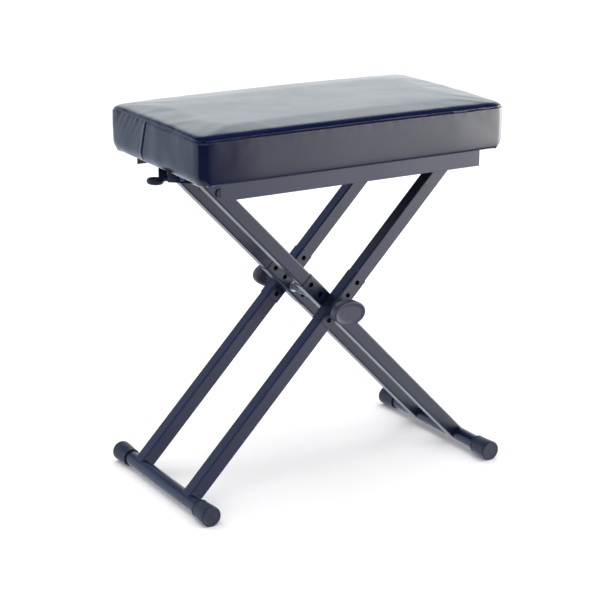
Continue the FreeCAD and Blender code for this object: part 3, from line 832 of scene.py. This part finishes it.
def overhead_softbox():
    """One soft light above the bench, which neither the camera nor gloss sees."""
    light = bpy.data.lights.new("overhead", "AREA")
    light.shape = "RECTANGLE"
    light.size = SOFTBOX_SIDE
    light.size_y = SOFTBOX_SIDE
    light.energy = SOFTBOX_POWER
    lamp = bpy.data.objects.new("overhead", light)
    bpy.context.scene.collection.objects.link(lamp)
    lamp.location = SOFTBOX_PLACE
    lamp.rotation_euler = (SOFTBOX_TARGET - SOFTBOX_PLACE).to_track_quat("-Z", "Y").to_euler()
    lamp.visible_camera = False
    lamp.visible_glossy = False


# Where each thing in the room starts and ends. The panel's sides are turns from the front, and every pair is
# a soft edge along X, Y or Z of the unit direction.
PANEL_START = math.radians(22)
PANEL_FULL = math.radians(46)
PANEL_END = math.radians(95)
PANEL_FADE = math.radians(20)
PANEL_FOOT = (-0.46, -0.16)
PANEL_TOP = (0.04, 0.20)
PANEL_LIGHT = (7.0, 7.0, 7.0, 1)
RIGHT_SWEEP_X = (-0.10, 0.25)
RIGHT_SWEEP_Y = (-0.25, 0.30)
RIGHT_SWEEP_TOP = (0.41, 0.61)
SWEEP_LIGHT = (1.45, 1.56, 1.60, 1)
LEFT_SWEEP_Y = (-0.10, 0.45)
LEFT_SWEEP_TOP = (0.34, 0.54)
LEFT_SWEEP = (0.72, 0.84, 1.08, 1)
DARK_SIDE = (0.00, 0.05, 0.42, 1)
FILL_Y = (-0.10, 0.30)
FILL_FOOT = (-0.02, 0.12)
FILL_TOP = (0.45, 0.65)
NEAR_FILL = (0.80, 0.87, 0.96, 1)
FLOOR_EDGE = (-0.80, -0.50)
FLOOR_GLOW = (0.80, 0.86, 1.00, 1)
ROOM_LIGHT = (1.12, 1.12, 1.12, 1)


def surroundings():
    """The room: white light all round, but gloss sees six things in it.

    A pale sweep stands behind on the right and a dim one behind on the left. A large bright panel stands
    right of the front, with a dim fill above it. The floor glows from below and the rest is dark blue."""
    world = bpy.data.worlds.new("studio")
    sky = Nodes(world)
    way = sky.node("ShaderNodeTexCoord", output="Generated")
    parts = sky.node("ShaderNodeSeparateXYZ", {}, {0: way}, output="X")
    x, y, z = (Value(sky, parts.socket.node.outputs[axis]) for axis in "XYZ")
    turn = x.maths("ARCTAN2", x, y * -1)
    panel = turn.clear(PANEL_START, PANEL_FULL) * (1 - turn.clear(PANEL_END, PANEL_END + PANEL_FADE))
    panel = panel * z.clear(*PANEL_FOOT) * (1 - z.clear(*PANEL_TOP))
    right_sweep = x.clear(*RIGHT_SWEEP_X) * y.clear(*RIGHT_SWEEP_Y) * (1 - z.clear(*RIGHT_SWEEP_TOP))
    left_sweep = y.clear(*LEFT_SWEEP_Y) * (1 - z.clear(*LEFT_SWEEP_TOP))
    near_fill = (1 - y.clear(*FILL_Y)) * z.clear(*FILL_FOOT) * (1 - z.clear(*FILL_TOP))
    seen = sky.mix(left_sweep, DARK_SIDE, LEFT_SWEEP)
    seen = sky.mix(near_fill, seen, NEAR_FILL)
    seen = sky.mix(right_sweep, seen, SWEEP_LIGHT)
    seen = sky.mix(panel, seen, PANEL_LIGHT)
    seen = sky.mix(1 - z.clear(*FLOOR_EDGE), seen, FLOOR_GLOW)
    glossy = sky.node("ShaderNodeLightPath", output="Is Glossy Ray")
    colour = sky.mix(glossy, ROOM_LIGHT, seen)
    background = sky.node("ShaderNodeBackground", {}, {"Color": colour})
    sky.node("ShaderNodeOutputWorld", {}, {"Surface": background}, output=None)
    bpy.context.scene.world = world


def studio():
    bpy.context.scene.view_settings.view_transform = "Standard"
    surroundings()
    overhead_softbox()
    bpy.ops.mesh.primitive_plane_add(size=FLOOR_SIDE, location=(0, 0, 0))
    floor = new_piece("studio_floor")
    floor.data.materials.append(studio_paper())
    floor.visible_glossy = False


# ---------------------------------------------------------------- the whole bench
bpy.ops.object.select_all(action="DESELECT")
place_camera()
studio()
dress_frame()
seat_cushion()
clamp_knobs()
foot_caps()
latch_grip()
